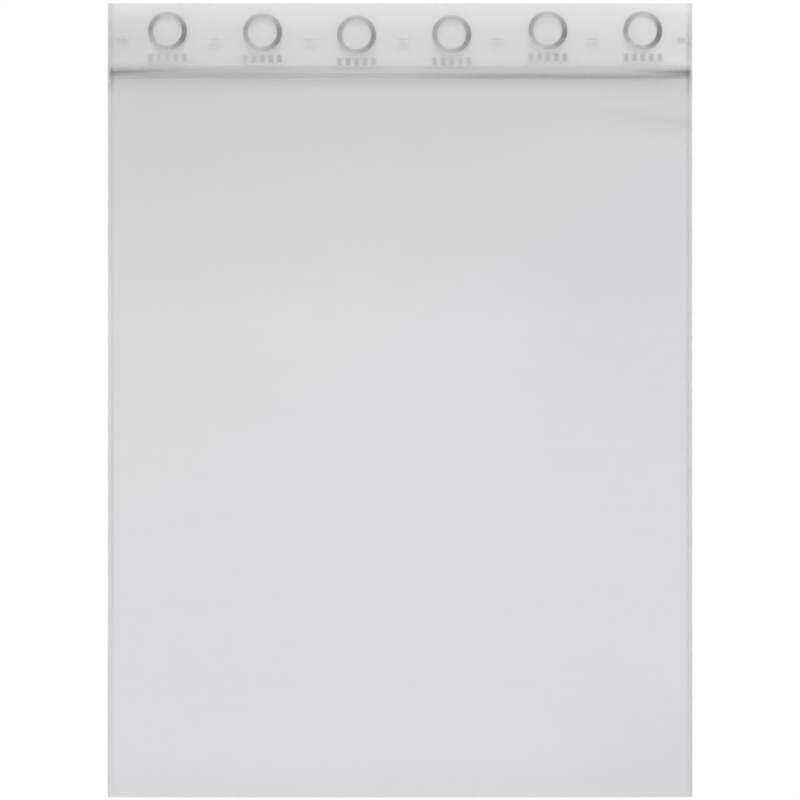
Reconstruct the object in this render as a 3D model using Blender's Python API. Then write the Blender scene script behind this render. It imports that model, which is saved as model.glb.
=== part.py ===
# Flat press-to-close bag of clear blown film, closed and lying on its back wall.
# +X runs along the zip, +Y from the bottom fold to the mouth, +Z from the back wall to the front wall.
# One blown tube makes the whole bag: it is folded at the bottom, welded and trimmed at both sides,
# and its zip is drawn with it, the barbed rib on the front wall and the hooked channel on the back wall.

import math

import bmesh
import bpy

# The bag and its film
BAG_WIDTH = 0.120
BAG_HEIGHT = 0.163  # bottom fold to the edge of the lips
FILM = 0.00005  # one wall
LIP_LENGTH = 0.0125  # mouth to the base of the zip

# Section of the zip
BASE_EXTRA = 0.0001  # added to the film where it carries the profile
BASE_MARGIN = 0.0008  # base beyond the roots of the jaws
BASE_RAMP = 0.00035  # run in which the base thins to the film
CROWN = 0.0001  # rise of the front wall over the profile
JAW_HEIGHT = 0.00105
JAW_WALL = 0.00033
JAW_DRAFT = 0.00006  # the jaws are thicker at their roots by this much
JAW_EASE = 0.00025  # slope on the outer shoulder of a jaw
HOOK_THICKNESS = 0.00025
LEAD_IN = 0.00006  # eased corner at the tip of a hook, and at the root of the stem
CHANNEL_RISE = 0.00015  # height of the slope between the channel's floor and its sides
CHANNEL_FLOOR = 0.5  # the floor's edge, from under the edge of the rib's point at 0 to the side at 1
STEM_WIDTH = 0.00036
BARB = 0.00024  # overhang of the rib's head, each side of its stem
BARB_EDGE = 0.3  # share of the head's height that keeps its full width
POINT_SHARE = 0.3  # width of the head's point, as a share of the head's
ZIP_CLEARANCE = 0.00005  # all round the rib in its channel

# Side welds
WELD_FLAT = 0.0006  # fused strip inside the bead
BEAD_WIDTH = 0.0003  # molten edge left by the hot cutter
BEAD_RISE = 0.00015
WELD_SQUEEZE = 0.2  # share of the profile's height that is left where a weld begins
SQUEEZE_LENGTH = 0.010  # the profile regains its height over this run from a weld

# How far the walls stand apart, film to film, and where
HAIRLINE = 0.00002  # where a weld begins
LIP_GAP = 0.00025
POCKET_GAP = 0.0005
FOLD_GAP = 0.00015
SIDE_NIP = 0.020  # the walls part over this run from a weld
FOLD_NIP = 0.045  # and over this run from the fold
ZIP_FALL = 0.022  # run in which the front wall settles below the zip
WELD_FALL = 0.0014  # the same beside a weld

# Steps of the surfaces
SPAN_STEPS = 40  # across the pocket
LIP_STEPS = 8
BODY_STEPS = 24
FOLD_STEPS = 4  # in each quarter turn
BEAD_STEPS = 4

FILM_COLOUR = (0.80, 0.80, 0.82)
FILM_ALPHA = 0.45
FILM_ROUGHNESS = 0.28

# Lengths that follow
HALF_WIDTH = BAG_WIDTH / 2
POCKET_HALF = HALF_WIDTH - BEAD_WIDTH - WELD_FLAT
MOUTH_Y = BAG_HEIGHT / 2
FOLD_Y = -BAG_HEIGHT / 2
BASE = FILM + BASE_EXTRA
STEM_HALF = STEM_WIDTH / 2
HEAD_HALF = STEM_HALF + BARB
CHANNEL_HALF = HEAD_HALF + ZIP_CLEARANCE
JAW_HALF = CHANNEL_HALF + JAW_WALL
BASE_HALF = JAW_HALF + JAW_DRAFT + BASE_MARGIN
ZIP_HALF = BASE_HALF + BASE_RAMP
ZIP_LINE = MOUTH_Y - LIP_LENGTH - ZIP_HALF


def mix(low, high, share):
    return low + (high - low) * share


def ease(share):
    # A smooth step from 0 to 1.
    share = min(max(share, 0.0), 1.0)
    return share * share * (3 - 2 * share)


def packed(steps):
    # Shares from 0 to 1, packed towards both ends.
    return [(1 - math.cos(math.pi * step / steps)) / 2 for step in range(steps + 1)]


# Places on the bag, by x

def past_weld(x):
    # From where a weld begins, towards the middle of the bag. It is negative in a weld.
    return POCKET_HALF - abs(x)


def parted(x):
    # From 0 at a weld to 1 where the walls are as far apart as they get.
    return ease(past_weld(x) / SIDE_NIP)


# Heights above the back wall's outer face

def fused_height(x):
    # The two walls on each other, with the bead that the cutter leaves at the trimmed edge.
    inset = HALF_WIDTH - abs(x)
    if inset > BEAD_WIDTH:
        return 2 * FILM
    return 2 * FILM + BEAD_RISE * math.sin(math.pi * inset / BEAD_WIDTH)


def wall_height(x, gap):
    # The front wall's top away from the zip, with its full gap in the middle of the bag.
    if past_weld(x) < 0:
        return fused_height(x)
    return fused_height(x) + mix(HAIRLINE, gap, parted(x))


def squeeze(x):
    # Share of its height that the profile keeps: all of it in the middle, and none at the
    # trimmed edge, where only the two bases are left.
    if past_weld(x) < 0:
        return WELD_SQUEEZE * (HALF_WIDTH - abs(x)) / (BEAD_WIDTH + WELD_FLAT)
    return mix(WELD_SQUEEZE, 1, ease(past_weld(x) / SQUEEZE_LENGTH))


def zip_height(x):
    return 2 * BASE + squeeze(x) * (JAW_HEIGHT + ZIP_CLEARANCE)


def lip_height(x, share):
    # Top of the front lip, from the zip at 0 to the mouth at 1. In the middle it leaves
    # the zip level and droops to the mouth, and beside a weld it drops at once.
    droop = 1 - share**2
    drop = math.exp(-share * LIP_LENGTH / WELD_FALL) * (1 - share)
    return mix(wall_height(x, LIP_GAP), zip_height(x), mix(drop, droop, parted(x)))


def body_height(x, from_zip, from_fold):
    # Top of the front wall below the zip, which it leaves in a long slack curve.
    full = ease(from_fold / FOLD_NIP)
    low = wall_height(x, mix(FOLD_GAP, POCKET_GAP, full))
    fall = mix(WELD_FALL, ZIP_FALL, parted(x))
    return mix(low, zip_height(x), math.exp(-from_zip / fall) * full)


# Section of the zip, as distances from its centre and heights above the back wall's base

def rib_side():
    # Half of the rib, from the edge of its base to its point.
    root = JAW_HEIGHT + ZIP_CLEARANCE
    shoulder = JAW_HEIGHT - HOOK_THICKNESS - ZIP_CLEARANCE
    return [
        (BASE_HALF, root),
        (JAW_HALF + JAW_DRAFT + JAW_EASE, root),
        (JAW_HALF, root),
        (JAW_HALF - JAW_EASE, root),
        (STEM_HALF + LEAD_IN, root),
        (STEM_HALF, root - LEAD_IN),
        (STEM_HALF, shoulder),
        (HEAD_HALF, shoulder),
        (HEAD_HALF, mix(shoulder, ZIP_CLEARANCE, BARB_EDGE)),
        (HEAD_HALF * POINT_SHARE, ZIP_CLEARANCE),
    ]


def channel_side():
    # Half of the channel, point for point beside the rib.
    under_hook = JAW_HEIGHT - HOOK_THICKNESS
    hook_tip = STEM_HALF + ZIP_CLEARANCE
    return [
        (BASE_HALF, 0),
        (JAW_HALF + JAW_DRAFT, 0),
        (JAW_HALF, JAW_HEIGHT - JAW_EASE),
        (JAW_HALF - JAW_EASE, JAW_HEIGHT),
        (hook_tip + LEAD_IN, JAW_HEIGHT),
        (hook_tip, JAW_HEIGHT - LEAD_IN),
        (hook_tip, under_hook),
        (CHANNEL_HALF, under_hook),
        (CHANNEL_HALF, CHANNEL_RISE),
        (mix(HEAD_HALF * POINT_SHARE, CHANNEL_HALF, CHANNEL_FLOOR), 0),
    ]


def crown_side():
    # Half of the front wall's outer face over the rib's base.
    top = JAW_HEIGHT + ZIP_CLEARANCE + BASE
    return [(BASE_HALF, top), (JAW_HALF, top), (STEM_HALF, top + CROWN)]


# Lines of points (y, z) at one x, each from the mouth to the fold

def across_zip(side, x):
    # Both halves of a section of the zip. What stands on the base is squeezed with it.
    mouth_side = [(ZIP_LINE + out, BASE + squeeze(x) * up) for out, up in side]
    fold_side = [(ZIP_LINE - out, BASE + squeeze(x) * up) for out, up in reversed(side)]
    return mouth_side + fold_side


def over_zip(x):
    # The outer face over the zip, one whole base above the squeezed profile.
    return raised(across_zip([(out, up - BASE) for out, up in crown_side()], x), BASE)


def lip_line(x):
    # The front lip's top, down to the base of the zip.
    return [(MOUTH_Y - down * LIP_LENGTH, lip_height(x, 1 - down)) for down in packed(LIP_STEPS)]


def fold_radius(x):
    return wall_height(x, FOLD_GAP) / 2


def body_line(x):
    # The front wall's top, from the base of the zip to where the fold starts to turn.
    start = ZIP_LINE - ZIP_HALF
    length = start - fold_radius(x) - FOLD_Y
    downs = [length * share for share in packed(BODY_STEPS)]
    return [(start - down, body_height(x, down, length - down)) for down in downs]


def fold_line(x, radius, turn):
    # A quarter turn to the line where the walls meet, from the front wall with turn at 1
    # and from the back wall with turn at -1.
    line = []
    for step in range(1, FOLD_STEPS + 1):
        angle = math.pi / 2 * step / FOLD_STEPS
        y = FOLD_Y + fold_radius(x) - radius * math.sin(angle)
        line.append((y, fold_radius(x) + turn * radius * math.cos(angle)))
    return line


def raised(line, rise):
    return [(y, z + rise) for y, z in line]


def levelled(line, height):
    return [(y, height) for y, _ in line]


def outer_lines(x):
    # The outer faces of the front and back walls.
    front = lip_line(x) + over_zip(x) + body_line(x)
    back = levelled(front, 0)
    radius = fold_radius(x)
    return front + fold_line(x, radius, 1), back + fold_line(x, radius, -1)


def inner_lines(x):
    # The inner faces of the front and back walls, with the rib and the channel.
    lip, body = lip_line(x), body_line(x)
    front = raised(lip, -FILM) + across_zip(rib_side(), x) + raised(body, -FILM)
    back = levelled(lip, FILM) + across_zip(channel_side(), x) + levelled(body, FILM)
    radius = fold_radius(x) - FILM
    return front + fold_line(x, radius, 1), back + fold_line(x, radius, -1)


# Surfaces

def add_lines(bm, x, lines):
    # The points of a front line and a back line, which share their last one, in the fold.
    front, back = [[bm.verts.new((x, y, z)) for y, z in line] for line in lines]
    bm.verts.remove(back[-1])
    back[-1] = front[-1]
    return front, back


def skin(bm, left, right):
    # Two triangles for each step along two neighbouring lines. Every surface is split the
    # same way, so that a wall keeps its thickness where it twists.
    for step in range(len(left) - 1):
        first = (left[step], left[step + 1], right[step + 1])
        second = (left[step], right[step + 1], right[step])
        for corners in (first, second):
            if len(set(corners)) == 3:
                bm.faces.new(corners)


def skin_walls(bm, stations):
    # The front and the back surface along a row of stations.
    for left, right in zip(stations, stations[1:]):
        skin(bm, left[0], right[0])
        skin(bm, left[1], right[1])


def add_pocket(bm):
    # The bag between its welds, with its mouth open between the lips. Returns the outer
    # and inner lines at its left end and at its right end.
    places = [mix(-POCKET_HALF, POCKET_HALF, share) for share in packed(SPAN_STEPS)]
    outer = [add_lines(bm, x, outer_lines(x)) for x in places]
    inner = [add_lines(bm, x, inner_lines(x)) for x in places]
    skin_walls(bm, outer)
    skin_walls(bm, inner)
    for wall in (0, 1):
        lip_edge = [[out[wall][0], into[wall][0]] for out, into in zip(outer, inner)]
        for left, right in zip(lip_edge, lip_edge[1:]):
            skin(bm, left, right)
    for end in (0, -1):
        skin(bm, *inner[end])
    return [(outer[end], inner[end]) for end in (0, -1)]


def add_weld(bm, side, pocket_end):
    # The fused strip from the trimmed edge to the pocket. side is -1 on the left.
    outer, inner = pocket_end
    insets = [BEAD_WIDTH * step / BEAD_STEPS for step in range(BEAD_STEPS + 1)]
    places = [side * (HALF_WIDTH - inset) for inset in insets]
    stations = [add_lines(bm, x, outer_lines(x)) for x in places]
    skin(bm, *stations[0])
    skin_walls(bm, stations + [outer])
    mouth = [[front[0], back[0]] for front, back in stations]
    for left, right in zip(mouth, mouth[1:]):
        skin(bm, left, right)
    last_front, last_back = mouth[-1]
    ring = [outer[0][0], inner[0][0], inner[1][0], outer[1][0], last_back]
    for first, second in zip(ring, ring[1:]):
        bm.faces.new((last_front, first, second))


def film_material():
    material = bpy.data.materials.new("clear_film")
    material.use_nodes = True
    material.surface_render_method = "BLENDED"
    shader = material.node_tree.nodes["Principled BSDF"]
    shader.inputs["Base Color"].default_value = (*FILM_COLOUR, 1)
    shader.inputs["Roughness"].default_value = FILM_ROUGHNESS
    shader.inputs["Metallic"].default_value = 0
    shader.inputs["Alpha"].default_value = FILM_ALPHA
    return material


def make_bag():
    bm = bmesh.new()
    left_end, right_end = add_pocket(bm)
    add_weld(bm, -1, left_end)
    add_weld(bm, 1, right_end)
    bmesh.ops.recalc_face_normals(bm, faces=bm.faces)
    mesh = bpy.data.meshes.new("bag_film")
    bm.to_mesh(mesh)
    bm.free()
    mesh.shade_smooth()
    mesh.set_sharp_from_angle(angle=math.radians(30))
    mesh.materials.append(film_material())
    bag = bpy.data.objects.new("bag_film", mesh)
    bpy.context.scene.collection.objects.link(bag)


for old in list(bpy.data.objects):
    bpy.data.objects.remove(old)
make_bag()
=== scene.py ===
import bpy
import math
import numpy as np
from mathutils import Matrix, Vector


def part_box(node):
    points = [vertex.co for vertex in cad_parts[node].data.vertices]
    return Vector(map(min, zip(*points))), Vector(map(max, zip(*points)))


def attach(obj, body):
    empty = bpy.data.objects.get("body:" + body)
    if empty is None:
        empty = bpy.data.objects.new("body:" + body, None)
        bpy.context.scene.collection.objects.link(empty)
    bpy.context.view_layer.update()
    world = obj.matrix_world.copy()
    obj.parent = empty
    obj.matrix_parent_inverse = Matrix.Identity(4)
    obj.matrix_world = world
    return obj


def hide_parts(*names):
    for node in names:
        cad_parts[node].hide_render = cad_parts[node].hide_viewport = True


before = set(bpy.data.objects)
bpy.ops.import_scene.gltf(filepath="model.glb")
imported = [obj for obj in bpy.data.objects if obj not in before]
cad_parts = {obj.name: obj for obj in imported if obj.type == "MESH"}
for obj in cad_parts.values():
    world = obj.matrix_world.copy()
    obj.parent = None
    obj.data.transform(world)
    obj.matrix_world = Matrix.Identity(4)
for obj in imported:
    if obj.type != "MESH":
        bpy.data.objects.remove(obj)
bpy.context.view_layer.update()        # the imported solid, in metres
bagLow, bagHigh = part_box("bag_film")
halfWidth = bagHigh.x
mouthY = bagHigh.y
foldY = bagLow.y
print("frame loaded")

# The bag lies on its back wall. x runs along the zip, y towards the mouth, z up.
bagShape = {
    "film": 0.00005,            # one wall
    "weldWidth": 0.0009,
    "lipLength": 0.0125,        # mouth to the base of the zip
    "zipHalf": 0.00201,         # half of the zip's base, with its ramps
    "lipStart": 0.00076,        # over the zip's centre, where the pocket's skin ends
    "zipHeight": 0.0014,
    "weldZipHeight": 0.0005,    # of the squeezed zip, where a weld begins
    "squeezeLength": 0.010,
    "lipGap": 0.00025,
    "pocketGap": 0.0005,
    "foldGap": 0.00015,
    "hairline": 0.00001,        # between the walls beside a weld
    "sideNip": 0.020,           # the walls part over this from the welds
    "foldNip": 0.045,           # and over this from the fold
    "zipFall": 0.022,           # the front wall comes down from the zip over this
    "weldFall": 0.0014,         # and over this beside a weld
}

zipY = mouthY - bagShape["lipLength"] - bagShape["zipHalf"]     # centre of the zip
lipFoot = zipY + bagShape["zipHalf"]


def mix(low, high, share):
    # low at share 0, high at share 1, straight between
    return low + (high - low) * share


def ease(share):
    # smooth step: 3 s^2 - 2 s^3, held between 0 and 1
    share = np.clip(share, 0.0, 1.0)
    return share * share * (3 - 2 * share)


def ramp(value, span):
    # smooth step from 0 at the span's first number to 1 at its second
    start, full = span
    return ease((value - start) / (full - start))


def bell(distance, reach):
    # Gauss curve: 1 at distance 0, falling to 0.37 at reach
    return np.exp(-(distance / reach) ** 2)


def packed(steps):
    # shares from 0 to 1, packed to both ends by a half cosine
    return (1 - np.cos(np.pi * np.arange(steps + 1) / steps)) / 2


def spread(steps):
    # shares from -1 to 1, somewhat packed to both ends
    return mix(np.linspace(-1, 1, steps + 1), 2 * packed(steps) - 1, 0.6)


def graded(knots):
    # shares joined from stretches (length, steps), evenly spaced within each
    parts = [np.linspace(0, length, steps, endpoint=False) for length, steps in knots]
    starts = np.cumsum([0] + [length for length, _ in knots])
    line = np.concatenate([part + start for part, start in zip(parts, starts)] + [starts[-1:]])
    return line / line[-1]


def gridFaces(rows, columns, closed=False):
    # quads of a grid of rows x columns points, numbered row by row
    across = columns if closed else columns - 1
    row, column = np.meshgrid(np.arange(rows - 1), np.arange(across), indexing="ij")
    after = (column + 1) % columns
    here = row * columns
    corners = (here + column, here + after, here + columns + after, here + columns + column)
    return np.stack([corner.ravel() for corner in corners], axis=1)


def shellFaces(rows, columns):
    # quads of a tube whose rings are the rows, with quads across both end rings too: point
    # k of a ring faces point columns - 1 - k
    faces = gridFaces(rows, columns, closed=True)
    first = np.arange(columns // 2 - 1)
    cap = np.stack([first, first + 1, columns - 2 - first, columns - 1 - first], axis=1)
    return np.vstack([faces, cap, cap + (rows - 1) * columns])


def tubeFaces(rows, columns):
    # quads of a tube, and one flat face on each end
    faces = [tuple(face) for face in gridFaces(rows, columns, closed=True)]
    faces.append(tuple(range(columns)))
    faces.append(tuple(range((rows - 1) * columns, rows * columns)))
    return faces


def meshPiece(name, points, faces, material, smoothAngle=40):
    # puts points and faces into a mesh whose faces are turned to point outwards
    mesh = bpy.data.meshes.new(name)
    mesh.from_pydata(points.reshape(-1, 3).tolist(), [], [list(face) for face in faces])
    mesh.validate()
    piece = bpy.data.objects.new(name, mesh)
    bpy.context.scene.collection.objects.link(piece)
    bpy.context.view_layer.objects.active = piece
    bpy.ops.object.mode_set(mode="EDIT")
    bpy.ops.mesh.select_all(action="SELECT")
    bpy.ops.mesh.normals_make_consistent(inside=False)
    bpy.ops.object.mode_set(mode="OBJECT")
    mesh.shade_smooth()
    mesh.set_sharp_from_angle(angle=math.radians(smoothAngle))
    mesh.materials.append(material)
    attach(piece, "root")
    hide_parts("bag_film")
    return piece


def addTone(piece, levels):
    # keeps the shade as one number for each point: 1 plain, less is darker. On the film, zip and
    # lips it holds their own tone and painted light and shade too; on the print, the ink's tone. One
    # level is a step of a picture's grey from 0 to 255, which takes this much of the film's colour.
    levelStep = 0.0154
    layer = piece.data.attributes.new("shade", "FLOAT", "POINT")
    layer.data.foreach_set("value", (1 + levels * levelStep).astype(np.float32).ravel())


# Shape of the bag, for arrays of x
def pastWeld(x):
    # distance from where a weld begins, towards the middle
    return halfWidth - bagShape["weldWidth"] - np.abs(x)


def parted(x):
    # from 0 at a weld to 1 where the walls are as far apart as they get
    return ease(pastWeld(x) / bagShape["sideNip"])


def zipWhole(x):
    # from 0 at a weld to 1 where the zip isn't squeezed
    return ease(pastWeld(x) / bagShape["squeezeLength"])


def zipHeight(x):
    # top of the zip: whole in the middle, squeezed to the welds
    return mix(bagShape["weldZipHeight"], bagShape["zipHeight"], zipWhole(x))


def wallHeight(x, gap):
    # top of the front wall away from the zip
    return 2 * bagShape["film"] + mix(bagShape["hairline"], gap, parted(x))


def foldRadius(x):
    # half the height of the two walls at the fold
    return wallHeight(x, bagShape["foldGap"]) / 2


def stations(middle):
    # places along x: four steps across each weld, and the rest closer near the welds
    inner = halfWidth - bagShape["weldWidth"]
    across = spread(middle) * inner
    weld = inner + bagShape["weldWidth"] * np.linspace(0, 1, 5)[1:]
    return np.concatenate([-weld[::-1], across, weld])[:, None]


filmRelief = {
    "crown": 0.00006,           # rise over the rib
    "crownReach": 0.0009,
    "weldCrown": 0.3,           # share of it that is left at a weld
    "pucker": 0.00005,          # ripples that start at the welds
    "puckerLength": 0.0095,
    "puckerReach": 0.006,
    "puckerDrift": (5, 37),     # their places drift by this many radians, at this rate per metre
    "slack": 0.00006,           # slow waves of the front wall
    # size of each wave, its radians per metre along x and y, and where it starts
    "waves": ((1, 61, 23, 1.3), (1, -47, 34, 0.4), (0.6, 19, 118, 0)),
    "weldFree": 0.003,          # all of these begin over this from the welds
    "foldFree": 0.006,          # over this from the fold
    "zipFree": 0.004,           # and over this from the zip
    "crease": 0.00022,          # soft fold at the right, below the zip
    "creaseReach": 0.0018,
    "creaseLow": 0.0245,        # under the mouth, at the right weld
    "creaseHigh": 0.0206,       # and at its other end
    "creaseLength": 0.040,
    "creaseX": (0.012, 0.047),  # it rises from the first x and is whole at the second
}


def zipRelief(x, away):
    # a low crown over the rib, at a distance below the zip's centre
    crown = filmRelief["crown"] * bell(away, filmRelief["crownReach"])
    return crown * mix(filmRelief["weldCrown"], 1, zipWhole(x))


def creaseLine(x):
    # height y of the soft fold: it leaves the right weld and rises as a square root
    reach = np.clip((halfWidth - x) / filmRelief["creaseLength"], 0, 1)
    low = mouthY - filmRelief["creaseLow"]
    high = mouthY - filmRelief["creaseHigh"]
    return mix(low, high, np.sqrt(reach))


def bodyRelief(x, y):
    # puckers at the welds, slow waves as a sum of sines, and the crease; all die out at the
    # welds and the fold
    inward = pastWeld(x)
    free = ease(inward / filmRelief["weldFree"]) * ease((y - foldY) / filmRelief["foldFree"])
    drift, rate = filmRelief["puckerDrift"]
    turn = 2 * np.pi * y / filmRelief["puckerLength"] + drift * np.sin(rate * y + np.sign(x))
    pucker = filmRelief["pucker"] * np.sin(turn) * np.exp(-inward / filmRelief["puckerReach"])
    waves = [size * np.sin(overX * x + overY * y + start)
             for size, overX, overY, start in filmRelief["waves"]]
    waves = filmRelief["slack"] * sum(waves) * parted(x)
    near = bell(y - creaseLine(x), filmRelief["creaseReach"]) * ramp(x, filmRelief["creaseX"])
    return free * (pucker + waves + filmRelief["crease"] * near)


def lipTop(x, share):
    # front lip: from the zip at share 0 to the mouth at 1, a droop of 1 - s^2 in the
    # middle and a steep drop beside a weld
    drop = np.exp(-share * bagShape["lipLength"] / bagShape["weldFall"]) * (1 - share)
    height = mix(drop, 1 - share**2, parted(x))
    return mix(wallHeight(x, bagShape["lipGap"]), zipHeight(x), height)


def lipFace(x, y):
    # height of the front lip's outer face
    return lipTop(x, np.clip((y - lipFoot) / bagShape["lipLength"], 0, 1))


def bodyTop(x, down, length):
    # front wall: from the base of the zip down to the fold, in a slack curve
    full = ease((length - down) / bagShape["foldNip"])
    low = wallHeight(x, mix(bagShape["foldGap"], bagShape["pocketGap"], full))
    fall = mix(bagShape["weldFall"], bagShape["zipFall"], parted(x))
    curve = np.exp(-down / fall) * full
    return mix(low, zipHeight(x), curve)


# Shade of the film, in grey levels: its own tone, with painted light and shade at the zip, the
# welds, the crease and the lips
railTone = {
    # the lines are painted shade along the rib and jaws; core and the glows are painted light
    "lineReach": 0.00045,       # half the width of a dark line
    "upperPlace": 0.00050,      # over the zip's centre
    "lowerPlace": 0.00068,      # under it
    "endReach": 0.007,          # the changes at both ends take this much
    "endWiden": 0.22,           # the upper line is this share wider there
    "endFall": 0.00025,         # and comes down by this
    "sag": 0.00012,             # the lower one comes down by this, here along the zip
    "sagPlace": 0.88,
    "sagReach": 0.07,
    "trimmed": (0.0001, 0.0005),            # both start over this, inside the trimmed edge
    "core": 5.0,                # lighter between the lines
    "corePlace": 0.0002,        # under the zip's centre
    "coreReach": 0.0005,
    "mouthGlow": 2.5,           # lighter where the base starts, on the mouth's side
    "mouthGlowPlace": 0.00155,
    "mouthGlowReach": 0.00035,
    "bodyGlow": 6.5,            # and on the other
    "bodyGlowPlace": 0.00165,
    "bodyGlowReach": 0.00040,
    "base": 3.0,                # darker over the whole base
    "baseTop": (0.0018, 0.0014),            # over the zip's centre, where that begins
    "baseFoot": (-0.0014, -0.0008),         # and ends
    # how many levels darker each line is, at shares of the zip's length from the left
    "along": (0, 0.02, 0.07, 0.11, 0.15, 0.22, 0.32, 0.50, 0.58,
              0.66, 0.72, 0.86, 0.90, 0.95, 0.98, 0.99, 1),
    "upper": (33, 36, 28, 17, 12, 10, 4, 0, 0, 2, 3, 3, 9, 21, 37, 44, 20),
    "lower": (0, 1, 8, 9, 8, 7, 3, 1, 14, 26, 28, 25, 25, 22, 10, 10, 4),
}


def railLevels(x, y):
    # shade of the rails: two soft dark lines of painted shade along the rib and jaws, whose
    # strength changes along the zip, painted light between them and beside the base, on a
    # slightly darker base
    tone = railTone
    up = y - zipY
    along = (x + halfWidth) / (2 * halfWidth)
    inward = halfWidth - np.abs(x)
    end = bell(inward, tone["endReach"])
    inner = ramp(inward, tone["trimmed"])
    upper = inner * np.interp(along, tone["along"], tone["upper"])
    reach = tone["lineReach"] * (1 + tone["endWiden"] * end)
    upper = upper * bell(up - tone["upperPlace"] + tone["endFall"] * end, reach)
    lower = inner * np.interp(along, tone["along"], tone["lower"])
    sag = tone["sag"] * bell(along - tone["sagPlace"], tone["sagReach"])
    lower = lower * bell(up + tone["lowerPlace"] + sag, tone["lineReach"])
    light = tone["core"] * (1 - end) * bell(up + tone["corePlace"], tone["coreReach"])
    light = light + tone["mouthGlow"] * bell(up - tone["mouthGlowPlace"], tone["mouthGlowReach"])
    light = light + tone["bodyGlow"] * bell(up + tone["bodyGlowPlace"], tone["bodyGlowReach"])
    base = tone["base"] * ramp(up, tone["baseTop"]) * ramp(up, tone["baseFoot"])
    return light - base - upper - lower


weldTone = {
    # painted shade in the line, where the film falls to the weld; painted highlight in the strip
    "linePlace": 0.00080,       # a dark line this far inside the trimmed edge
    "lineReach": 0.00045,
    "stripReach": 0.0006,       # a strip outside it
    "nip": 16.0,                # the line is darker than that just below the zip
    "nipBelow": 0.0015,         # under the zip's centre
    "nipReach": 0.0022,
    "trim": 20.0,               # the trimmed edge is darker near the fold
    "trimReach": 0.00035,
    "trimY": (-0.040, -0.068),  # that begins at the first height and is whole at the second
    # how many levels darker the line is and how many lighter the strip, at heights y
    "along": (-0.078, -0.071, -0.058, -0.041, -0.015, 0.020, 0.050,
              0.062, 0.065, 0.0695, 0.0713, 0.0744, 0.0777, 0.080),
    "lineLeft": (3, 4, 6, 10, 13, 10, 10, 7, 8, 10, 11, 10, 10, 14),
    "lineRight": (4, 6, 8, 10, 13, 13, 12, 10, 12, 16, 19, 18, 12, 6),
    "stripLeft": (9, 7, 6, 4, 6, 9, 9, 8, 5, 2, -2, -3, 0, 1),
    "stripRight": (6, 5, 2, 1, 2, 5, 8, 11, 9, 2, -9, -10, -6, -8),
}


def weldLevels(x, y):
    # shade of the welds: a dark line of painted shade inside each, where the film falls to the
    # weld, and a lighter strip of painted highlight outside it, whose strengths change along the
    # weld, and a darker trimmed edge near the fold
    tone = weldTone
    inward = halfWidth - np.abs(x)
    left = np.interp(y, tone["along"], tone["lineLeft"])
    right = np.interp(y, tone["along"], tone["lineRight"])
    line = np.where(x > 0, right, left)
    line = line + tone["nip"] * bell(y - zipY + tone["nipBelow"], tone["nipReach"])
    line = line * bell(inward - tone["linePlace"], tone["lineReach"])
    left = np.interp(y, tone["along"], tone["stripLeft"])
    right = np.interp(y, tone["along"], tone["stripRight"])
    strip = np.where(x > 0, right, left) * bell(inward, tone["stripReach"])
    trim = tone["trim"] * ramp(y, tone["trimY"]) * bell(inward, tone["trimReach"])
    return strip - trim - line


filmTone = {
    # "Side" is from 0 in the middle to 1 at the edge, "Y" a height y, "Up" a height over the
    # fold; each pair is where a shade begins and where it is whole
    # painted shade below the zip, where the front wall slopes down away from the light
    "zipShade": 12.0,           # lost just below the zip
    "zipShadeReach": 0.052,
    "leftShade": 1.5,           # along the left side
    "leftSide": (0.077, 0.846),
    "leftY": (-0.020, 0.010),
    "rightShade": 2.0,          # along the right side, about this height y
    "rightSide": (0.2, 0.7),
    "rightPlace": 0.018,
    "rightReach": 0.022,
    "bothShade": 0.5,           # both sides
    "bothSide": (0.3, 0.8),
    "bothY": (0.025, 0.005),
    # painted light below the crease and painted shade along it, on the right
    "patchGlow": 4.0,           # lighter below the crease, about this x and y
    "patchX": 0.046,
    "patchWide": 0.017,
    "patchY": 0.049,
    "patchHigh": 0.008,
    "creaseShade": 5.0,         # darker at the crease, on the right
    "creaseX": (0.038, 0.050),
    "creasePlace": 0.0009,      # under its line
    "creaseReach": 0.0013,
    "cornerShade": 3.5,         # lower right corner
    "cornerSide": (0.45, 1),
    "cornerUp": (0.030, 0),
    "footShade": 2.0,           # beside the fold
    "footUp": (0.010, 0.002),
}


def toneLevels(x, y):
    # shade of the film as a sum of soft patches: a ramp of painted shade below the zip, darker
    # sides and lower right corner, painted light and shade at the crease, and the lines of the
    # welds and the zip, which carry painted light and shade
    tone = filmTone
    side = x / halfWidth
    up = y - foldY
    below = np.clip((zipY - y) / tone["zipShadeReach"], 0, 1)
    under = np.where(y < zipY, 1 - below, 0) * tone["zipShade"]
    left = tone["leftShade"] * ramp(-side, tone["leftSide"]) * ramp(y, tone["leftY"])
    right = tone["rightShade"] * ramp(side, tone["rightSide"])
    right = right * bell(y - tone["rightPlace"], tone["rightReach"])
    both = tone["bothShade"] * ramp(np.abs(side), tone["bothSide"]) * ramp(y, tone["bothY"])
    foot = tone["footShade"] * ramp(up, tone["footUp"])
    corner = tone["cornerShade"] * ramp(side, tone["cornerSide"]) * ramp(up, tone["cornerUp"])
    crease = bell(y - creaseLine(x) + tone["creasePlace"], tone["creaseReach"])
    crease = tone["creaseShade"] * crease * ramp(x, tone["creaseX"])
    glow = tone["patchGlow"] * bell(x - tone["patchX"], tone["patchWide"])
    glow = glow * bell(y - tone["patchY"], tone["patchHigh"])
    dark = under + left + right + both + corner + foot + crease
    return glow - dark + weldLevels(x, y) + railLevels(x, y)


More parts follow.
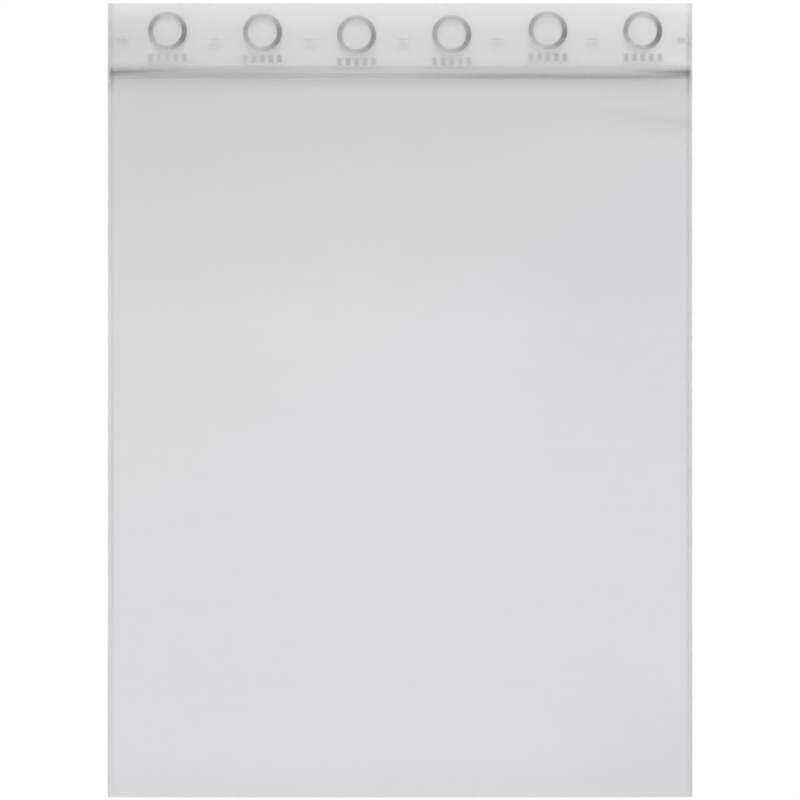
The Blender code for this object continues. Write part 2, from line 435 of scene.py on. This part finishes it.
zipRails = {
    "baseHalf": 0.00166,        # half widths, of the two bases
    "stemHalf": 0.00018,        # and of the rib
    "headHalf": 0.00042,
    "pointHalf": 0.00010,
    "baseExtra": 0.0001,        # thickness of a base
    "baseLean": 0.98,           # its inner side, as a share of its outer one
    "jawWall": 0.00033,
    "jawFlare": 0.00006,        # a jaw is wider at its foot by this
    "floorRise": 1.05,          # the channel's floor, as a share of the base's thickness
    "hook": 0.00024,
    "barbShare": 0.7,           # of the way from the rib's tip to its shoulders
    "catch": 0.00002,           # its shoulders lie past the clearance under the hooks by this
    "clearance": 0.00004,       # between the rib and the channel
    "sink": 0.8,                # share of the film's thickness that a base lies in
    "ends": 0.6,                # both stop this share of a weld's width from the edge
    "stations": 120,
}

# steps of the pocket's outline, as stretches (length, steps)
pocketSteps = {
    "zip": [(0.5, 26), (0.5, 12)],
    "body": [(0.03, 14), (0.2, 50), (0.67, 70), (0.09, 12), (0.01, 5)],
    "turn": 12,
    "back": 40,
    "along": 200,
}


def pocketFilm(name, material):
    # the pocket's outer skin, closed along the zip: front wall from the zip to the fold, the
    # fold as a half circle, back wall
    x = stations(pocketSteps["along"])
    top = -bagShape["lipStart"]
    away = mix(top, bagShape["zipHalf"], graded(pocketSteps["zip"]))[None, :-1]
    railY = zipY - away + 0 * x
    railZ = zipHeight(x) + zipRelief(x, away)
    start = zipY - bagShape["zipHalf"]
    radius = foldRadius(x)
    length = start - foldY - radius
    down = graded(pocketSteps["body"])[None, :] * length
    bodyY = start - down
    free = ease(down / filmRelief["zipFree"])
    bodyZ = bodyTop(x, down, length) + bodyRelief(x, bodyY) * free
    angle = np.linspace(0, np.pi, pocketSteps["turn"] + 1)[None, 1:]
    turnY = foldY + radius - radius * np.sin(angle)
    turnZ = radius + radius * np.cos(angle)
    backY = mix(foldY + radius, zipY - top, packed(pocketSteps["back"])[None, 1:])
    y = np.hstack([railY, bodyY, turnY, backY])
    z = np.hstack([railZ, bodyZ, turnZ, np.zeros_like(backY)])
    ring = np.stack([np.broadcast_to(x, y.shape), y, z], axis=2)
    piece = meshPiece(name, ring, tubeFaces(*ring.shape[:2]), material)
    addTone(piece, toneLevels(x, y))


lipTone = {
    # edge and foot: painted light at the mouth, where the lip tilts to the light, and painted shade by
    # the zip
    "edge": 3.4,                # lighter at the mouth
    "foot": -4.5,               # darker beside the zip
    "rightGlow": 3.0,           # lighter to the right end
    "leftShade": 2.2,           # darker to the left
    "middle": 1.5,              # darker here under the mouth
    "middlePlace": 0.006,
    "middleReach": 0.0035,
    "rim": 4.0,                 # the very edge
    "rimReach": 0.0007,
    "sideEdge": 9.0,            # lighter at the edge, beside both welds
    "sideEdgeReach": 0.0022,
    "leftFoot": 5.0,            # darker in the lower left corner
    "leftFootWide": 0.009,
    "leftFootDown": (0.002, 0.008),         # under the mouth, where that begins and is whole
    "streak": 1.6,              # fine uneven lines along the lip
    "streakRates": (5200, 1900),            # radians per metre
    "steps": [(0.03, 4), (0.82, 26), (0.15, 10)],
    "stations": 160,
}


def lipLevels(x, y, footY):
    # shade of a lip: a ramp of painted light and shade from the zip to the mouth, soft patches and
    # fine streaks
    tone = lipTone
    under = mouthY - y
    share = (y - footY) / (mouthY - footY)
    levels = toneLevels(x, y) + mix(tone["foot"], tone["edge"], share)
    ends = np.where(x > 0, tone["rightGlow"], tone["leftShade"])
    levels = levels + ends * (x / halfWidth) ** 3
    levels = levels + tone["sideEdge"] * (1 - parted(x)) * bell(under, tone["sideEdgeReach"])
    low = tone["leftFoot"] * ramp(under, tone["leftFootDown"])
    levels = levels - low * bell(x + halfWidth, tone["leftFootWide"])
    levels = levels - tone["middle"] * bell(under - tone["middlePlace"], tone["middleReach"])
    levels = levels - tone["rim"] * bell(under, tone["rimReach"])
    fine, coarse = tone["streakRates"]
    return levels + tone["streak"] * np.sin(fine * y + 40 * x) * np.sin(coarse * y + 1)


def lipFilm(name, front, material):
    # one lip: a sheet one film thick, from the mouth to the zip
    x = stations(lipTone["stations"])
    footY = zipY + bagShape["lipStart"]
    y = mix(mouthY, footY, graded(lipTone["steps"])[None, :]) + 0 * x
    film = bagShape["film"]
    if front:
        z = np.where(y > lipFoot, lipFace(x, y), zipHeight(x) + zipRelief(x, zipY - y))
    else:
        z = np.full_like(y, film)
    loopY = np.hstack([y, y[:, ::-1]])
    loopZ = np.hstack([z, z[:, ::-1] - film])
    ring = np.stack([np.broadcast_to(x, loopY.shape), loopY, loopZ], axis=2)
    piece = meshPiece(name, ring, shellFaces(*ring.shape[:2]), material)
    levels = lipLevels(x, y, footY)
    addTone(piece, np.hstack([levels, levels[:, ::-1]]))


def rounded(corners, radii, steps=4):
    # a closed outline with each corner turned by a curve of that size: a quadratic
    # Bezier from one side of the corner to the other
    corners = np.array(corners, float)
    before = np.roll(corners, 1, axis=0) - corners
    after = np.roll(corners, -1, axis=0) - corners
    sizes = np.array(radii, float)[:, None]
    start = corners + before / np.linalg.norm(before, axis=1, keepdims=True) * sizes
    end = corners + after / np.linalg.norm(after, axis=1, keepdims=True) * sizes
    t = np.linspace(0, 1, steps + 1)[None, :, None]
    curve = (1 - t) ** 2 * start[:, None] + 2 * t * (1 - t) * corners[:, None]
    curve = curve + t**2 * end[:, None]
    return curve.reshape(-1, 2)


def symmetric(half, span):
    # the half outline (distance, height share, corner size) and its mirror image, rounded
    # at the size it has in metres; a corner size of 0 becomes a very small one
    whole = half + [(-out, up, size) for out, up, size in reversed(half)]
    corners = [(out, up * span) for out, up, _ in whole]
    outline = rounded(corners, np.maximum([size for _, _, size in whole], 1e-6))
    return outline / np.array([1, span])


def ribOutline(span):
    # base, stem and arrow head, from the base's edge round and back; height 1 is the
    # front wall's inner face and 0 the back wall's, span metres apart
    rail = zipRails
    base = 1 - rail["baseExtra"] / span
    tip = (rail["baseExtra"] + rail["clearance"]) / span
    neck = rail["baseExtra"] + rail["clearance"] * 2 + rail["hook"] + rail["catch"]
    shoulder = 1 - neck / span
    barb = mix(tip, shoulder, rail["barbShare"])
    half = [
        (rail["baseHalf"], 1, 0.0),
        (rail["baseHalf"] * rail["baseLean"], base, 0.00002),
        (rail["stemHalf"], base, 0.00006),
        (rail["stemHalf"], shoulder, 0.00002),
        (rail["headHalf"], shoulder, 0.00003),
        (rail["headHalf"], barb, 0.00008),
        (rail["pointHalf"], tip, 0.00005),
    ]
    return symmetric(half, span)


def channelOutline(span):
    # base and two hooked jaws, in the same heights
    rail = zipRails
    base = rail["baseExtra"] / span
    top = 1 - (rail["baseExtra"] + rail["clearance"]) / span
    under = top - rail["hook"] / span
    inner = rail["headHalf"] + rail["clearance"]
    outer = inner + rail["jawWall"]
    hook = rail["stemHalf"] + rail["clearance"]
    half = [
        (rail["baseHalf"], 0, 0.0),
        (rail["baseHalf"] * rail["baseLean"], base, 0.00002),
        (outer + rail["jawFlare"], base, 0.00008),
        (outer, top, 0.00028),
        (hook, top, 0.00007),
        (hook, under, 0.00004),
        (inner, under, 0.00003),
        (inner, base * rail["floorRise"], 0.00018),
    ]
    return symmetric(half, span)


def railPiece(name, outline, material):
    # carries an outline (distance below the zip's centre, share of the height between the
    # two walls) along the zip, and closes both ends
    reach = halfWidth - bagShape["weldWidth"] * zipRails["ends"]
    x = (reach * spread(zipRails["stations"]))[:, None]
    away = outline[:, 0][None, :]
    up = outline[:, 1][None, :]
    y = zipY - away + 0 * x
    low = bagShape["film"] * zipRails["sink"]
    z = mix(low, zipHeight(x) - low, up)
    points = np.stack([np.broadcast_to(x, y.shape), y, z], axis=2)
    piece = meshPiece(name, points, tubeFaces(*points.shape[:2]), material, smoothAngle=50)
    addTone(piece, railLevels(x, y))


weldBead = {
    "width": 0.0004,
    "rise": 0.00016,
    "ripple": 0.00003,
    "widthRipple": 0.10,        # share of its width
    "rates": (910, 173, 2310),  # of the ripples, in radians per metre
    "zipRise": 0.0002,          # it is higher by this at the ends of the zip
    "zipReach": 0.0022,
    "under": 0.6,               # its underside, as a share of the film's thickness
    "turns": 14,
    "steps": 300,
}


def beadPiece(name, side, material):
    # the molten edge: a low rounded bead along the trimmed side, with slow ripples in its
    # width and height. Height over the film is rise * sin(angle) round a half turn.
    y = mix(foldY, mouthY, graded([(1, weldBead["steps"])]))[:, None]
    around = np.linspace(0, np.pi, weldBead["turns"] + 1)[None, :]
    rate, swell, fine = weldBead["rates"]
    wobble = np.sin(rate * y) * np.sin(swell * y + 0.7) + 0.6 * np.sin(fine * y + 2 * side)
    width = weldBead["width"] * (1 + weldBead["widthRipple"] * wobble)
    atZip = bell(y - zipY, weldBead["zipReach"])
    rise = weldBead["rise"] + weldBead["ripple"] * wobble + weldBead["zipRise"] * atZip
    out = halfWidth - width / 2 * (1 - np.cos(around))
    z = bagShape["film"] + rise * np.sin(around)
    top = np.stack([side * out, np.broadcast_to(y, out.shape), z], axis=2)
    under = top[:, ::-1][:, 1:-1].copy()
    under[:, :, 2] = bagShape["film"] * weldBead["under"]
    points = np.concatenate([top, under], axis=1)
    meshPiece(name, points, tubeFaces(*points.shape[:2]), material, smoothAngle=60)


lipPrint = {
    "markX": (-0.0477, -0.0282, -0.0089, 0.0106, 0.0303, 0.0498),
    "markY": (0.0757, 0.0754, 0.0749, 0.0750, 0.0758, 0.0758),
    "ring": 0.0035,             # radius of a mark, to the middle of its line
    "ringWidth": 0.0011,
    "ringSteps": 72,
    # its ink, as levels, how often they come round the ring, and where they start
    "ringInk": ((12, 1, 0.25), (19, 2, 0.5)),
    "ringFleck": (3, 9),        # the same, but these start elsewhere on each ring
    "ringHeavy": (0.25, 1.3),   # a ring's ink differs by this share, at this step of a wave
    "blocks": 5,                # a row of short upright blocks under each ring
    "blockPitch": 0.00175,
    "blockWidth": 0.00115,
    "blockLength": 0.0015,
    "blockBelow": 0.0055,       # middle of the row, under the ring's centre
    "blockLevels": 20,
    "blockUneven": 5,           # the blocks differ by this
    "smudgeX": (-0.0570, -0.0381, -0.0184, 0.0007, 0.0200, 0.0395, 0.0580),
    "smudgeY": 0.0739,
    "smudgeLength": 0.0024,
    "smudgeWidth": 0.0011,
    "smudgeLevels": 40,
    "smudgeFade": 8,            # paler at its ends by this
    "edgeLevels": 22,           # ink is this much paler at the edge of a stroke
    "ink": 0.000012,            # thickness
    "lift": 0.000004,           # over the lip
}


def inkStroke(lineX, lineY, width, levels, closed=False):
    # a flat stroke along a line on the lip: the line is moved to four places across its
    # width, over and under, and its ink is thinner in the two outer ones
    if closed:
        runX = np.roll(lineX, -1) - np.roll(lineX, 1)
        runY = np.roll(lineY, -1) - np.roll(lineY, 1)
    else:
        runX = np.gradient(lineX)
        runY = np.gradient(lineY)
    length = np.hypot(runX, runY)
    across = np.array([0.5, 0.26, -0.26, -0.5]) * width
    across = np.concatenate([across, across[::-1]])
    x = lineX[:, None] - (runY / length)[:, None] * across
    y = lineY[:, None] + (runX / length)[:, None] * across
    z = lipFace(x, y) + lipPrint["lift"] + lipPrint["ink"] * np.repeat([0, 1], 4)
    tone = levels[:, None] + lipPrint["edgeLevels"] * np.array([1, 0, 0, 1, 1, 0, 0, 1])
    points = np.stack([x, y, z], axis=2).reshape(-1, 3)
    if closed:
        faces = gridFaces(len(lineX) + 1, 8, closed=True) % len(points)
    else:
        faces = shellFaces(len(lineX), 8)
    return points, faces, tone.ravel()


def ringStroke(number, x, y):
    # a ring that took more ink on the right and at the lower left: its levels are a sum of
    # cosines of the turn, and each ring is inked a little differently
    turn = np.linspace(0, 2 * np.pi, lipPrint["ringSteps"], endpoint=False)
    share, step = lipPrint["ringHeavy"]
    heavy = 1 + share * math.cos(step * number)
    uneven = sum(levels * np.cos(times * turn + start) for levels, times, start in lipPrint["ringInk"])
    levels, times = lipPrint["ringFleck"]
    uneven = uneven + levels * np.sin(times * turn + number)
    lineX = x + lipPrint["ring"] * np.cos(turn)
    lineY = y + lipPrint["ring"] * np.sin(turn)
    return inkStroke(lineX, lineY, lipPrint["ringWidth"], 1 - heavy * uneven, closed=True)


def blockStroke(number, block, x, y, share):
    # one upright block of the row under a ring
    place = x + (block - (lipPrint["blocks"] - 1) / 2) * lipPrint["blockPitch"]
    line = y - lipPrint["blockBelow"] + share * lipPrint["blockLength"]
    levels = lipPrint["blockLevels"] + lipPrint["blockUneven"] * math.sin(7 * block + 2 * number)
    levels = np.full_like(line, levels)
    return inkStroke(np.full_like(line, place), line, lipPrint["blockWidth"], levels)


def smudgeStroke(x, share):
    # a short level smear, paler to its ends
    line = x + share * lipPrint["smudgeLength"]
    levels = lipPrint["smudgeLevels"] + lipPrint["smudgeFade"] * (2 * share) ** 2
    height = np.full_like(line, lipPrint["smudgeY"])
    return inkStroke(line, height, lipPrint["smudgeWidth"], levels)


def printedMarks(name, material):
    # plain rings with a row of blocks under each, and a faint smudge between them
    share = np.linspace(-0.5, 0.5, 8)
    strokes = []
    for number, (x, y) in enumerate(zip(lipPrint["markX"], lipPrint["markY"])):
        strokes.append(ringStroke(number, x, y))
        for block in range(lipPrint["blocks"]):
            strokes.append(blockStroke(number, block, x, y, share))
    for x in lipPrint["smudgeX"]:
        strokes.append(smudgeStroke(x, share))
    points = np.vstack([points for points, _, _ in strokes])
    starts = np.cumsum([0] + [len(points) for points, _, _ in strokes])
    faces = np.vstack([faces + start for (_, faces, _), start in zip(strokes, starts)])
    piece = meshPiece(name, points, faces, material)
    addTone(piece, np.concatenate([tone for _, _, tone in strokes]))


# Materials
def shaderNodes(name):
    material = bpy.data.materials.new(name)
    material.use_nodes = True
    tree = material.node_tree
    return material, tree, tree.nodes["Principled BSDF"]


def stretchedNoise(tree, finish):
    # the finish's grain: noise on Object coordinates, stretched by a Mapping node
    place = tree.nodes.new("ShaderNodeTexCoord")
    mapping = tree.nodes.new("ShaderNodeMapping")
    mapping.inputs["Scale"].default_value = finish["stretch"]
    noise = tree.nodes.new("ShaderNodeTexNoise")
    noise.inputs["Scale"].default_value = finish["scale"]
    noise.inputs["Detail"].default_value = finish["detail"]
    tree.links.new(place.outputs["Object"], mapping.inputs["Vector"])
    tree.links.new(mapping.outputs["Vector"], noise.inputs["Vector"])
    return noise.outputs["Fac"]


def mapped(tree, value, low, high, fromLow=0.3, fromHigh=0.7):
    # a value brought from one range to another, straight between and held at the ends
    node = tree.nodes.new("ShaderNodeMapRange")
    node.inputs["From Min"].default_value = fromLow
    node.inputs["From Max"].default_value = fromHigh
    node.inputs["To Min"].default_value = low
    node.inputs["To Max"].default_value = high
    tree.links.new(value, node.inputs["Value"])
    return node.outputs["Result"]


def blended(tree, factor, first, second):
    # mixes two colours, each four numbers or a socket; the factor may pass 1
    node = tree.nodes.new("ShaderNodeMix")
    node.data_type = "RGBA"
    node.clamp_factor = False
    tree.links.new(factor, node.inputs["Factor"])
    for slot, colour in (("A", first), ("B", second)):
        socket = [s for s in node.inputs if s.name == slot and s.type == "RGBA"][0]
        if isinstance(colour, tuple):
            socket.default_value = colour
        else:
            tree.links.new(colour, socket)
    return [s for s in node.outputs if s.type == "RGBA"][0]


def shaded(tree, colour, grain, tint):
    # a colour times the piece's shade, which holds its own tone and, on the film and zip, painted
    # light and shade, and times the tint's two numbers with the grain
    attribute = tree.nodes.new("ShaderNodeAttribute")
    attribute.attribute_name = "shade"
    times = tree.nodes.new("ShaderNodeMath")
    times.operation = "MULTIPLY"
    tree.links.new(attribute.outputs["Fac"], times.inputs[0])
    tree.links.new(mapped(tree, grain, *tint), times.inputs[1])
    return blended(tree, times.outputs[0], (0, 0, 0, 1), colour)


def finished(tree, shader, colour, grain, finish):
    # colour into the shader; the grain changes the gloss and raises a fine relief
    tree.links.new(colour, shader.inputs["Base Color"])
    tree.links.new(mapped(tree, grain, *finish["roughness"]), shader.inputs["Roughness"])
    bump = tree.nodes.new("ShaderNodeBump")
    bump.inputs["Distance"].default_value = finish["bump"]
    tree.links.new(grain, bump.inputs["Height"])
    tree.links.new(bump.outputs["Normal"], shader.inputs["Normal"])


filmFinish = {
    "neutral": (0.765, 0.764, 0.764, 1),    # by the mouth
    "cool": (0.762, 0.753, 0.778, 1),       # by the fold
    "coolStart": 0.032,         # of y - slant * x, where the change between them begins
    "coolEnd": 0.012,
    "coolSlant": 0.66,
    "pocketAlpha": 0.35,
    "lipAlpha": 0.19,
    "scale": 60,                # of the die lines
    "stretch": (0.35, 14.0, 1.0),
    "detail": 1,
    "tint": (0.996, 1.004),
    "roughness": (0.30, 0.42),
    "bump": 0.000003,
}


def coolShare(tree):
    # 0 towards the mouth and 1 towards the fold, along y - slant * x
    place = tree.nodes.new("ShaderNodeTexCoord")
    along = tree.nodes.new("ShaderNodeVectorMath")
    along.operation = "DOT_PRODUCT"
    along.inputs[1].default_value = (-filmFinish["coolSlant"], 1, 0)
    tree.links.new(place.outputs["Object"], along.inputs[0])
    return mapped(tree, along.outputs["Value"], 1, 0, filmFinish["coolEnd"], filmFinish["coolStart"])


def filmMaterial(name, alpha, cools):
    # hazy film: fine die lines along the zip in its tone, its gloss and its relief
    material, tree, shader = shaderNodes(name)
    lines = stretchedNoise(tree, filmFinish)
    colour = filmFinish["neutral"]
    if cools:
        colour = blended(tree, coolShare(tree), colour, filmFinish["cool"])
    colour = shaded(tree, colour, lines, filmFinish["tint"])
    finished(tree, shader, colour, lines, filmFinish)
    shader.inputs["Alpha"].default_value = alpha
    return material


railFinish = {
    "colour": (0.74, 0.75, 0.765, 1),
    "alpha": 0.13,
    "scale": 60,
    "stretch": (0.2, 30.0, 30.0),
    "detail": 2,
    "tint": (0.98, 1.0),
    "roughness": (0.29, 0.38),
    "bump": 0.000002,
}


def railMaterial():
    # the zip's clear plastic, with lines drawn along it
    material, tree, shader = shaderNodes("zipPlastic")
    lines = stretchedNoise(tree, railFinish)
    colour = shaded(tree, railFinish["colour"], lines, railFinish["tint"])
    finished(tree, shader, colour, lines, railFinish)
    shader.inputs["Alpha"].default_value = railFinish["alpha"]
    return material


weldFinish = {
    "colour": (0.78, 0.78, 0.79, 1),
    "lighter": 1.25,            # times the colour, where the grain is high
    "alpha": 0.25,
    "scale": 300,
    "stretch": (1.0, 1.0, 1.0),
    "detail": 3,
    "roughness": (0.29, 0.42),
    "bump": 0.000004,
}


def weldMaterial():
    # the melted edge: rougher, and uneven in its colour
    material, tree, shader = shaderNodes("meltedEdge")
    grain = stretchedNoise(tree, weldFinish)
    dull = weldFinish["colour"]
    light = tuple(min(1, part * weldFinish["lighter"]) for part in dull[:3]) + (1,)
    colour = blended(tree, mapped(tree, grain, 0, 1), dull, light)
    finished(tree, shader, colour, grain, weldFinish)
    shader.inputs["Alpha"].default_value = weldFinish["alpha"]
    return material


inkFinish = {
    "colour": (0.42, 0.42, 0.43, 1),
    "alpha": 0.5,
    "scale": 700,
    "stretch": (1.0, 1.0, 1.0),
    "detail": 2,
    "tint": (0.94, 1.06),
    "roughness": (0.45, 0.7),
    "bump": 0.000001,
}


def inkMaterial():
    # thin grey ink that took unevenly on the film
    material, tree, shader = shaderNodes("greyInk")
    blots = stretchedNoise(tree, inkFinish)
    colour = shaded(tree, inkFinish["colour"], blots, inkFinish["tint"])
    finished(tree, shader, colour, blots, inkFinish)
    shader.inputs["Alpha"].default_value = inkFinish["alpha"]
    return material


pocketFilm("pocket_film", filmMaterial("pocketFilm", filmFinish["pocketAlpha"], True))
lipPlastic = filmMaterial("lipFilm", filmFinish["lipAlpha"], False)
lipFilm("lip_front", True, lipPlastic)
lipFilm("lip_back", False, lipPlastic)
print("film made")
zipPlastic = railMaterial()
railSpan = bagShape["zipHeight"] - 2 * bagShape["film"]
railPiece("zip_rib", ribOutline(railSpan), zipPlastic)
railPiece("zip_channel", channelOutline(railSpan), zipPlastic)
print("zip made")
meltedEdge = weldMaterial()
beadPiece("weld_left", -1, meltedEdge)
beadPiece("weld_right", 1, meltedEdge)
printedMarks("lip_print", inkMaterial())
print("welds and print made")

# Floor, light and camera
studio = {
    "floorDrop": 0.0001,
    "floorSize": 6.0,
    "floorColour": (0.86, 0.86, 0.86, 1),
    "floorLift": 0.16,          # extra white that only the camera and reflections see
    "fill": 0.64,
    "keyShare": 0.36,           # of the light on a level surface
    "keyHeight": 48,            # degrees over the floor, from the mouth's side
    "keySpread": 40,            # degrees
    "cameraHeight": 0.62,
    "lens": 135.85,             # mm, on a sensor this wide
    "sensor": 36,
}


def pathSwitch(tree):
    # 1 for rays that come from the camera, a reflection or glass
    rays = tree.nodes.new("ShaderNodeLightPath")
    total = rays.outputs["Is Camera Ray"]
    for name in ("Is Glossy Ray", "Is Transmission Ray"):
        either = tree.nodes.new("ShaderNodeMath")
        either.operation = "MAXIMUM"
        tree.links.new(total, either.inputs[0])
        tree.links.new(rays.outputs[name], either.inputs[1])
        total = either.outputs[0]
    return total


def floorMaterial():
    # pale and matte, lifted towards white for the camera and reflections alone
    material = bpy.data.materials.new("paleFloor")
    material.use_nodes = True
    tree = material.node_tree
    tree.nodes.clear()
    matte = tree.nodes.new("ShaderNodeBsdfDiffuse")
    matte.inputs["Color"].default_value = studio["floorColour"]
    lift = tree.nodes.new("ShaderNodeEmission")
    strength = tree.nodes.new("ShaderNodeMath")
    strength.operation = "MULTIPLY"
    strength.inputs[1].default_value = studio["floorLift"]
    tree.links.new(pathSwitch(tree), strength.inputs[0])
    tree.links.new(strength.outputs[0], lift.inputs["Strength"])
    both = tree.nodes.new("ShaderNodeAddShader")
    out = tree.nodes.new("ShaderNodeOutputMaterial")
    tree.links.new(matte.outputs[0], both.inputs[0])
    tree.links.new(lift.outputs[0], both.inputs[1])
    tree.links.new(both.outputs[0], out.inputs["Surface"])
    return material


def makeFloor():
    # one level square just under the bag
    half = studio["floorSize"] / 2
    corners = [(-half, -half), (half, -half), (half, half), (-half, half)]
    mesh = bpy.data.meshes.new("floor")
    mesh.from_pydata([(x, y, -studio["floorDrop"]) for x, y in corners], [], [(0, 1, 2, 3)])
    floor = bpy.data.objects.new("floor", mesh)
    bpy.context.scene.collection.objects.link(floor)
    mesh.materials.append(floorMaterial())


def makeWorld():
    # even fill, which the camera and reflections see as white
    world = bpy.data.worlds.new("softRoom")
    bpy.context.scene.world = world
    world.use_nodes = True
    tree = world.node_tree
    background = tree.nodes["Background"]
    strength = tree.nodes.new("ShaderNodeMapRange")
    strength.inputs["To Min"].default_value = studio["fill"]
    strength.inputs["To Max"].default_value = 1.0
    tree.links.new(pathSwitch(tree), strength.inputs["Value"])
    tree.links.new(strength.outputs["Result"], background.inputs["Strength"])
    background.inputs["Color"].default_value = (1, 1, 1, 1)


def makeLamp():
    # a broad soft key from the mouth's side. A level white surface gets keyShare from it:
    # strength = share * pi / sin(height)
    height = math.radians(studio["keyHeight"])
    lamp = bpy.data.lights.new("softKey", "SUN")
    lamp.angle = math.radians(studio["keySpread"])
    lamp.energy = studio["keyShare"] * math.pi / math.sin(height)
    key = bpy.data.objects.new("softKey", lamp)
    key.rotation_euler = (height - math.pi / 2, 0, 0)
    bpy.context.scene.collection.objects.link(key)


def makeCamera():
    # straight down on the bag, with the mouth at the top of the frame
    data = bpy.data.cameras.new("camera")
    data.lens = studio["lens"]
    data.sensor_width = studio["sensor"]
    camera = bpy.data.objects.new("camera", data)
    camera.location = (0, 0, studio["cameraHeight"])
    bpy.context.scene.collection.objects.link(camera)
    bpy.context.scene.camera = camera


makeFloor()
makeWorld()
makeLamp()
makeCamera()
bpy.context.scene.view_settings.view_transform = "Standard"
bpy.context.scene.cycles.transparent_max_bounces = 32
print("studio made")
